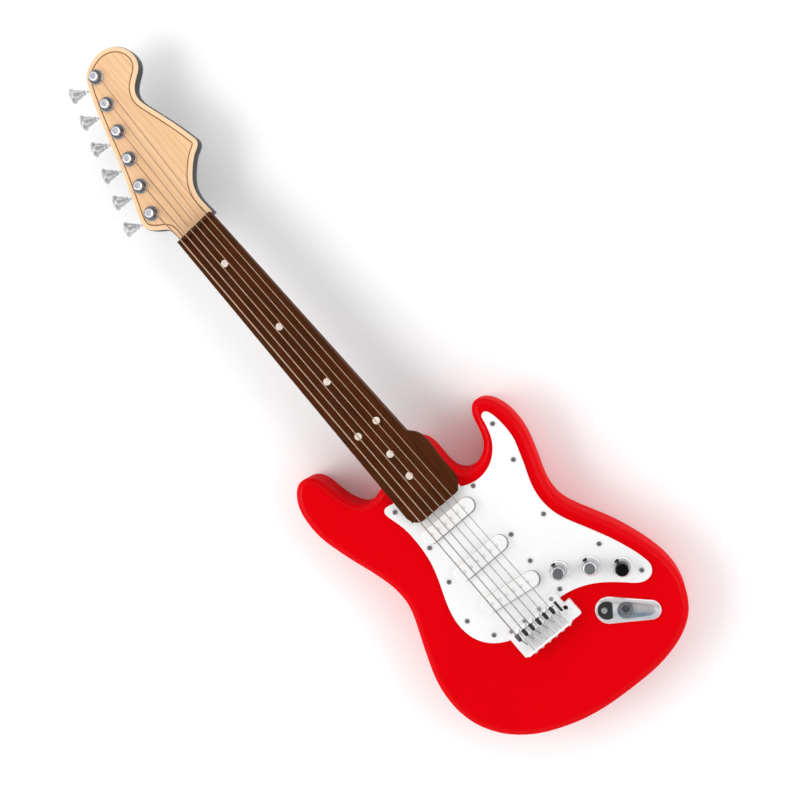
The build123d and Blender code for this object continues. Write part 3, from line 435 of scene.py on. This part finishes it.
# inside parts
a = keep(Mat("paper_cone"), "paper_cone")
n = a.noise(a.obj, 800.0, 6.0, 0.7)
a.colour(a.ramp(n, [(0.3, (0.018, 0.017, 0.016)), (0.75, (0.06, 0.057, 0.052))]))
a.rough(a.ranged(n, 0.7, 0.92, 0.3, 0.7))
a.normal(a.bump(n, 0.4, 0.0002))
a = keep(Mat("board_green"), "board_green")
n = a.noise(a.obj, 240.0, 2.0, 0.5)
track = a.wave(a.obj, 190.0, 3.5, 2.0, "X", "SAW")
a.colour(a.mix(a.ranged(track, 0.0, 0.7, 0.8, 0.95), a.ramp(n, [(0.3, (0.010, 0.085, 0.030)), (0.7, (0.018, 0.13, 0.045))]), (0.03, 0.22, 0.08)))
a.rough(a.ranged(n, 0.3, 0.45, 0.3, 0.7))
a.normal(a.bump(track, 0.1, 0.0001))
a = keep(Mat("cell_wrap"), "cell_wrap")
n = a.noise(a.obj, 300.0, 3.0, 0.5)
y = a.xyz()[0]
a.colour(a.mix(a.ranged(a.wave(a.mapped((1, 0.0, 0.0)), 9.0, 0.0, 0.0), 0.0, 1.0, 0.8, 0.82), a.ramp(n, [(0.3, (0.02, 0.022, 0.03)), (0.7, (0.035, 0.037, 0.05))]), (0.42, 0.27, 0.08)))
a.rough(a.ranged(n, 0.2, 0.32, 0.3, 0.7))
a.normal(a.bump(n, 0.05, 0.0001))

# index mark (print), socket shade, and painted shade for the dark slots of the bridge and the arm hole
a = keep(Mat("ink_black"), "ink_black")
n = a.noise(a.obj, 900.0, 3.0, 0.6)
a.colour(a.ramp(n, [(0.3, (0.004, 0.004, 0.004)), (0.75, (0.016, 0.016, 0.017))]))
a.rough(a.ranged(n, 0.4, 0.6, 0.3, 0.7))
a.normal(a.bump(n, 0.1, 0.0001))

for name, lo, hi in (("gap_grey", (0.16, 0.16, 0.16), (0.26, 0.26, 0.255)), ("pole_grey", (0.62, 0.62, 0.61), (0.74, 0.735, 0.73))):
    a = keep(Mat(name), name)
    n = a.noise(a.obj, 700.0, 3.0, 0.6)
    a.colour(a.ramp(n, [(0.3, lo), (0.75, hi)]))
    a.rough(a.ranged(n, 0.35, 0.55, 0.3, 0.7))
    a.normal(a.bump(n, 0.1, 0.0001))

# matt white paper floor
a = keep(Mat("floor_paper"), "floor_paper")
n = a.noise(a.obj, 5.0, 4.0, 0.5)
a.colour(a.ramp(n, [(0.3, (0.955, 0.955, 0.955)), (0.7, (0.965, 0.965, 0.965))]))
a.rough(a.ranged(a.noise(a.obj, 900.0, 2.0, 0.5), 0.85, 0.95, 0.3, 0.7))
a.set(Specular_IOR_Level=0.1)

for name, o in nodes.items():
    for s in o.material_slots:
        key = s.material.name.split(".")[0] if s.material else ""
        if name.startswith("tuner_post_"):
            key = "post_cap"
        if name == "tuner_bushings":
            key = "bushing_dark"
        if name == "knob_2":
            key = "knob_mid"
        if name == "knob_3":
            key = "knob_black"
        s.material = M[key] if key in M else M["steel_pressing"]


# ------------------------------------------------------------------ mesh helpers
def add_mesh(name, verts, faces, mat, body, smooth=True, attr=None):
    me = bpy.data.meshes.new(name)
    me.from_pydata([tuple(v) for v in verts], [], faces)
    me.update()
    if attr is not None:
        at = me.attributes.new(attr[0], "FLOAT", "POINT")
        at.data.foreach_set("value", np.asarray(attr[1], np.float32))
    me.materials.append(M[mat])
    if smooth:
        me.shade_smooth()
    o = bpy.data.objects.new(name, me)
    scene.collection.objects.link(o)
    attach(o, body)
    return o


def sharpen(o, degrees=35.0):
    me = o.data
    me.update()
    fn = np.array([p.normal[:] for p in me.polygons])
    pairs = {}
    for p in me.polygons:
        for k in p.edge_keys:
            pairs.setdefault(k, []).append(p.index)
    limit = math.cos(math.radians(degrees))
    at = me.attributes.get("sharp_edge") or me.attributes.new("sharp_edge", "BOOLEAN", "EDGE")
    flags = []
    for e in me.edges:
        key = tuple(sorted(e.vertices))
        ps = pairs.get(key, pairs.get(tuple(e.vertices), []))
        flags.append(len(ps) == 2 and float(fn[ps[0]] @ fn[ps[1]]) < limit)
    at.data.foreach_set("value", flags)


def top_loops(node, z_mm, tol=0.05):
    """Closed outlines, in mm, of a node's flat faces at height z."""
    me = nodes[node].data
    co = np.array([v.co[:] for v in me.vertices]) * 1000.0
    key = {}
    ids = np.empty(len(co), int)
    pts = []
    for i, c in enumerate(co):
        k = (round(c[0], 3), round(c[1], 3), round(c[2], 3))
        if k not in key:
            key[k] = len(pts)
            pts.append(c)
        ids[i] = key[k]
    count = {}
    for p in me.polygons:
        vs = [int(ids[v]) for v in p.vertices]
        if all(abs(pts[v][2] - z_mm) < tol for v in vs):
            for s, t in zip(vs, vs[1:] + vs[:1]):
                count[(s, t)] = count.get((s, t), 0) + 1
    edge = {}
    for (s, t) in count:
        if (t, s) not in count:
            edge[s] = t
    loops = []
    while edge:
        s = next(iter(edge))
        loop = [s]
        t = edge.pop(s)
        while t != s and t in edge:
            loop.append(t)
            t = edge.pop(t)
        loops.append(np.array([pts[i][:2] for i in loop]))
    loops.sort(key=lambda l: -len(l) * 0 - abs(shoelace(l)))
    return loops


def shoelace(l):
    x, y = l[:, 0], l[:, 1]
    return 0.5 * float(np.sum(x * np.roll(y, -1) - np.roll(x, -1) * y))


def resample(loop, step):
    out = []
    n = len(loop)
    for i in range(n):
        p, q = loop[i], loop[(i + 1) % n]
        m = max(1, int(math.ceil(np.linalg.norm(q - p) / step)))
        for j in range(m):
            out.append(p + (q - p) * j / m)
    return np.array(out)


def inside(pts, loop):
    res = np.zeros(len(pts), bool)
    x, y = pts[:, 0], pts[:, 1]
    n = len(loop)
    for i in range(n):
        x1, y1 = loop[i]
        x2, y2 = loop[(i + 1) % n]
        hit = (y1 > y) != (y2 > y)
        with np.errstate(divide="ignore", invalid="ignore"):
            xi = (x2 - x1) * (y - y1) / (y2 - y1) + x1
        res ^= hit & (x < xi)
    return res


def dist_to(pts, segs):
    best = np.full(len(pts), 1e9)
    for p, q in segs:
        d = q - p
        L = float(d @ d)
        if L < 1e-12:
            continue
        t = np.clip(((pts - p) @ d) / L, 0, 1)
        r = pts - (p + t[:, None] * d)
        best = np.minimum(best, np.hypot(r[:, 0], r[:, 1]))
    return best


# ------------------------------------------------------------------ headstock face with its engraved line
def carve_headstock():
    lo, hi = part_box("headstock_face")
    z_top, z_bot = hi.z * 1000, lo.z * 1000
    loops = top_loops("headstock_face", z_top)
    outline = loops[0]
    holes = [h for h in loops[1:] if abs(shoelace(h)) > 3.0]
    if shoelace(outline) < 0:
        outline = outline[::-1]
    y_nut = lo.y * 1000
    outline = resample(outline, 0.7)
    n = len(outline)
    segs = []
    for i in range(n):
        p, q = outline[i], outline[(i + 1) % n]
        if not (p[1] < y_nut + 0.6 and q[1] < y_nut + 0.6):
            segs.append((p, q))
    left = outline[np.argmin(np.where(outline[:, 1] < y_nut + 0.6, outline[:, 0], 1e9))]
    right = outline[np.argmax(np.where(outline[:, 1] < y_nut + 0.6, outline[:, 0], -1e9))]
    segs.append((left, left + np.array([0, -12.0])))
    segs.append((right, right + np.array([0, -12.0])))
    verts, edges = [tuple(p) for p in outline], [(i, (i + 1) % n) for i in range(n)]
    nxt, prv = np.roll(outline, -1, 0), np.roll(outline, 1, 0)
    tan = nxt - prv
    tan /= np.maximum(np.linalg.norm(tan, axis=1), 1e-9)[:, None]
    nor = np.stack([-tan[:, 1], tan[:, 0]], 1)
    for d in (0.18, 0.5, 1.1, 3.3, 3.5, 3.75, 4.0, 4.25, 4.5, 4.8):
        q = outline + nor * d
        ok = (dist_to(q, segs) > d - 0.03) & inside(q, outline) & (q[:, 1] > y_nut + 0.3)
        base = len(verts)
        idx = [-1] * n
        for i in range(n):
            if ok[i]:
                idx[i] = len(verts)
                verts.append(tuple(q[i]))
        for i in range(n):
            j = (i + 1) % n
            if idx[i] >= 0 and idx[j] >= 0 and np.linalg.norm(q[i] - q[j]) > 1e-4:
                edges.append((idx[i], idx[j]))
    hole_ids = []
    for h in holes:
        h = resample(h, 0.6)
        b0 = len(verts)
        m = len(h)
        verts += [tuple(p) for p in h]
        edges += [(b0 + i, b0 + (i + 1) % m) for i in range(m)]
    gx = np.arange(outline[:, 0].min(), outline[:, 0].max(), 2.6)
    gy = np.arange(outline[:, 1].min(), outline[:, 1].max(), 2.6)
    g = np.array([(x + (1.3 if j % 2 else 0), y) for j, y in enumerate(gy) for x in gx])
    g = g[inside(g, outline)]
    g = g[dist_to(g, segs) > 5.4]
    for h in holes:
        c = h.mean(0)
        r = np.linalg.norm(h - c, axis=1).max()
        g = g[np.linalg.norm(g - c, axis=1) > r + 1.0]
    verts += [tuple(p) for p in g]
    res = delaunay_2d_cdt([Vector(v) for v in verts], edges, [], 0, 1e-5)
    pv = np.array([v[:] for v in res[0]])
    tris = [tuple(f) for f in res[2]]
    cen = np.array([pv[list(f)].mean(0) for f in tris])
    keep_t = inside(cen, outline)
    for h in holes:
        keep_t &= ~inside(cen, h)
    tris = [f for f, k in zip(tris, keep_t) if k]
    tris = [f if (pv[f[1]] - pv[f[0]])[0] * (pv[f[2]] - pv[f[0]])[1] - (pv[f[1]] - pv[f[0]])[1] * (pv[f[2]] - pv[f[0]])[0] > 0 else f[::-1] for f in tris]
    d = dist_to(pv, segs)
    z = np.full(len(pv), z_top)
    r = 0.5
    k = d < r
    z[k] -= r - np.sqrt(np.maximum(0, r * r - (r - d[k]) ** 2))
    k = (d > 3.48) & (d < 4.52)
    z[k] -= 0.42 * np.cos((d[k] - 4.0) / 0.52 * math.pi / 2) ** 2
    z = np.maximum(z, z_bot + 0.2)
    N = len(pv)
    top = [(x * MM, y * MM, zz * MM) for (x, y), zz in zip(pv, z)]
    low = [(x * MM, y * MM, z_bot * MM) for x, y in pv]
    faces = [tuple(f) for f in tris] + [tuple(v + N for v in f[::-1]) for f in tris]
    used = {}
    for f in tris:
        for s, t in zip(f, f[1:] + f[:1]):
            used[(s, t)] = 1
    for (s, t) in used:
        if (t, s) not in used:
            faces.append((t, s, s + N, t + N))
    o = add_mesh("headstock_face_carved", top + low, faces, "maple_face", "guitar", True,
                 ("rim_mm", np.concatenate([d, np.full(N, 9.0)])))
    sharpen(o, 40)
    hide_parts("headstock_face")
    return o


carve_headstock()


# ------------------------------------------------------------------ string turns round the posts
def tube(name, pts, r, mat, body, cyclic=False):
    cu = bpy.data.curves.new(name, "CURVE")
    cu.dimensions = "3D"
    cu.bevel_depth = r
    cu.bevel_resolution = 3
    cu.use_fill_caps = True
    sp = cu.splines.new("NURBS")
    sp.points.add(len(pts) - 1)
    for i, p in enumerate(pts):
        sp.points[i].co = (*p, 1)
    sp.order_u = 3
    sp.use_endpoint_u = not cyclic
    sp.use_cyclic_u = cyclic
    sp.resolution_u = 3
    cu.materials.append(M[mat])
    o = bpy.data.objects.new(name, cu)
    scene.collection.objects.link(o)
    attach(o, body)
    return o


STR_R = [0.55, 0.48, 0.42, 0.36, 0.32, 0.30]
for k in range(1, 7):
    lo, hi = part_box(f"tuner_post_{k}")
    cx, cy = (lo.x + hi.x) / 2 * 1000, (lo.y + hi.y) / 2 * 1000
    r = STR_R[6 - k]
    turns = 1.9
    z0, z1 = 39.8 + r, 42.0 - r * 0.6
    pts = []
    steps = int(turns * 20)
    for i in range(steps + 1):
        t = i / steps
        ang = -math.pi * 0.5 + 2 * math.pi * turns * t
        rr = 2.3 + r * 0.75
        pts.append(((cx + rr * math.cos(ang)) * MM, (cy + rr * math.sin(ang)) * MM, (z0 + (z1 - z0) * t) * MM))
    tube(f"string_turns_{k}", pts, r * MM * 0.85, "string_wire", f"post_{k}")


# ------------------------------------------------------------------ index marks on the dial skirts
def rounded_plate(name, w, h, t, r, origin, ang, mat, body, dome=0.0):
    """A small plate with rounded corners and a bevelled upper edge. origin is the middle of its underside, in mm."""
    ring = []
    for cx, cy, a0 in ((w / 2 - r, h / 2 - r, 0), (-w / 2 + r, h / 2 - r, 90), (-w / 2 + r, -h / 2 + r, 180), (w / 2 - r, -h / 2 + r, 270)):
        for j in range(5):
            q = math.radians(a0 + j * 22.5)
            ring.append((cx + r * math.cos(q), cy + r * math.sin(q)))
    n = len(ring)
    b = min(t * 0.5, r * 0.5)
    levels = [(1.0, 0.0, 0.0), (1.0, 0.0, t - b), (1.0, b * 0.3, t - b * 0.3), (1.0, b, t)]
    verts, faces = [], []
    ca, sa = math.cos(ang), math.sin(ang)
    for _, shrink, z in levels:
        for x, y in ring:
            L = math.hypot(x, y)
            f = 1 - shrink / L
            x2, y2 = x * f, y * f
            verts.append(((origin[0] + x2 * ca - y2 * sa) * MM, (origin[1] + x2 * sa + y2 * ca) * MM, (origin[2] + z) * MM))
    for lv in range(len(levels) - 1):
        for i in range(n):
            j = (i + 1) % n
            faces.append((lv * n + i, lv * n + j, (lv + 1) * n + j, (lv + 1) * n + i))
    verts.append((origin[0] * MM, origin[1] * MM, (origin[2] + t + dome) * MM))
    c = len(verts) - 1
    base = (len(levels) - 1) * n
    for i in range(n):
        faces.append((base + i, base + (i + 1) % n, c))
    faces.append(tuple(range(n))[::-1])
    o = add_mesh(name, verts, faces, mat, body)
    sharpen(o, 50)
    return o


for k in range(1, 4):
    lo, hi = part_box(f"knob_{k}")
    cx, cy = (lo.x + hi.x) / 2 * 1000, (lo.y + hi.y) / 2 * 1000
    ang = math.radians(88)
    rr = 6.35
    rounded_plate(f"dial_mark_{k}", 2.1, 3.4, 0.35, 0.3, (cx + rr * math.cos(ang), cy + rr * math.sin(ang), 42.25), ang, "ink_black", f"dial_{k}")

# ------------------------------------------------------------------ dark lines and slots (painted shade) and marks
def stadium(cx, cy, l, w, ang, grow, n=14):
    h, r = l / 2 - w / 2, w / 2 + grow
    pts = []
    for s0, a0 in ((1, -90), (-1, 90)):
        for j in range(n + 1):
            q = math.radians(a0 + 180.0 * j / n)
            pts.append((s0 * h + r * math.cos(q), r * math.sin(q)))
    ca, sa = math.cos(math.radians(ang)), math.sin(math.radians(ang))
    return [(cx + x * ca - y * sa, cy + x * sa + y * ca) for x, y in pts]


def band(name, inner, outer, z0, z1, mat, body, slot):
    """A low closed rim between two outlines with the same count of points, its top rounded over. Heights in mm."""
    n = len(inner)
    rows = []
    for k in range(7):
        t = k / 6
        zz = z0 + (z1 - z0) * math.sin(math.pi * t) ** 0.5 if 0 < k < 6 else z0
        rows.append([(o[0] + (i[0] - o[0]) * t, o[1] + (i[1] - o[1]) * t, zz) for i, o in zip(inner, outer)])
    verts = [(x * MM, y * MM, z * MM) for row in rows for x, y, z in row]
    faces = []
    m = len(rows)
    for k in range(m):
        k2 = (k + 1) % m
        for i in range(n):
            j = (i + 1) % n
            faces.append((k * n + i, k * n + j, k2 * n + j, k2 * n + i))
    return add_mesh(name, verts, faces, mat, body)


# painted shadow: a grey line round the foot of each pickup cover, shifted towards the bridge and treble side
for node, (l, w, ang) in (("pickup_neck", (50.0, 12.6, 0.0)), ("pickup_middle", (50.0, 12.6, 0.0)), ("pickup_bridge", (51.0, 12.6, -7.6))):
    lo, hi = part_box(node)
    cx, cy = (lo.x + hi.x) / 2 * 1000, (lo.y + hi.y) / 2 * 1000
    band(node + "_shadow_gap", stadium(cx, cy, l, w, ang, 0.05), stadium(cx + 0.25, cy - 0.52, l, w, ang, 0.62), 39.95, 40.16, "gap_grey", "guitar", "black_plastic")
    ca, sa = math.cos(math.radians(ang)), math.sin(math.radians(ang))
    for k in range(6):
        u = (k - 2.5) * 6.6
        rounded_plate(f"{node}_pole_{k + 1}", 3.0, 3.0, 0.22, 1.45, (cx + u * ca, cy + u * sa, hi.z * 1000 - 0.08), 0.0, "pole_grey", "guitar", 0.05)

# black slots between the saddles and the small dark marks behind them: painted shade, black marks put where the slots
# lie in shade
lo_b, hi_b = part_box("bridge_plate")
lo_s, hi_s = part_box("bridge_saddles")
plate_top = 42.0
saddle_top = hi_s.z * 1000
STR_X = [-17.05, -10.25, -3.4, 3.4, 10.25, 17.05]
for k, x in enumerate(STR_X):
    rounded_plate(f"saddle_slot_shade_{k + 1}", 3.1, 6.6, 1.2, 1.4, (x - 0.1, 1.75, saddle_top - 0.2), 0.0, "ink_black", "guitar")
rounded_plate("plate_slot_shade_7", 2.0, 9.4, 0.34, 0.6, (20.95, -0.4, plate_top - 0.1), 0.0, "ink_black", "guitar")

lo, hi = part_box("jack_insert")
jx, jy = (lo.x + hi.x) / 2 * 1000, (lo.y + hi.y) / 2 * 1000


def pan_head(name, x, y, z, r, h, ang, mat, body):
    """A domed screw head with a sunk cross, as a polar grid."""
    rings, seg = 9, 48
    verts, faces = [(x * MM, y * MM, (z + h - 0.45) * MM)], []
    for i in range(1, rings + 1):
        t = i / rings
        for j in range(seg):
            q = 2 * math.pi * j / seg
            px, py = t * r * math.cos(q), t * r * math.sin(q)
            zz = z + h * math.sqrt(max(0.0, 1 - (t * 0.96) ** 4)) if i < rings else z
            u = px * math.cos(ang) + py * math.sin(ang)
            v = -px * math.sin(ang) + py * math.cos(ang)
            arm = r * 0.62
            if (abs(u) < 0.20 * r and abs(v) < arm) or (abs(v) < 0.20 * r and abs(u) < arm):
                zz -= 0.45
            verts.append(((x + px) * MM, (y + py) * MM, zz * MM))
    for j in range(seg):
        faces.append((0, 1 + j, 1 + (j + 1) % seg))
    for i in range(rings - 1):
        for j in range(seg):
            b0 = 1 + i * seg
            faces.append((b0 + j, b0 + seg + j, b0 + seg + (j + 1) % seg, b0 + (j + 1) % seg))
    o = add_mesh(name, verts, faces, mat, body)
    sharpen(o, 40)
    return o


# the screw of the jack plate is bright where the pickguard's are dark
JANG = math.radians(-38.3)
JCX, JCY = 59.6, -36.6
sx, sy = JCX - 18.0 * math.cos(JANG), JCY - 18.0 * math.sin(JANG)
pan_head("jack_screw_head", sx, sy, 39.82, 2.42, 1.22, 0.6, "post_cap", "guitar")

# painted shade: a black disc in the arm hole's throat, where the hole is in shade
rounded_plate("arm_hole_shade", 3.5, 3.5, 0.5, 1.74, (24.4, -4.8, 38.05), 0.0, "ink_black", "guitar")

# ------------------------------------------------------------------ floor
fl = bpy.data.meshes.new("floor")
R, seg = 9.0, 48
fl_v = [(0, 0, 0)] + [(R * math.cos(2 * math.pi * i / seg), R * math.sin(2 * math.pi * i / seg), 0) for i in range(seg)]
fl_f = [(0, i + 1, (i + 1) % seg + 1) for i in range(seg)]
fl.from_pydata(fl_v, [], fl_f)
fl.materials.append(M["floor_paper"])
floor = bpy.data.objects.new("floor", fl)
scene.collection.objects.link(floor)
lo_all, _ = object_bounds()
floor.location = (0, 0.2, lo_all[2] - 0.0004)

bpy.context.view_layer.update()
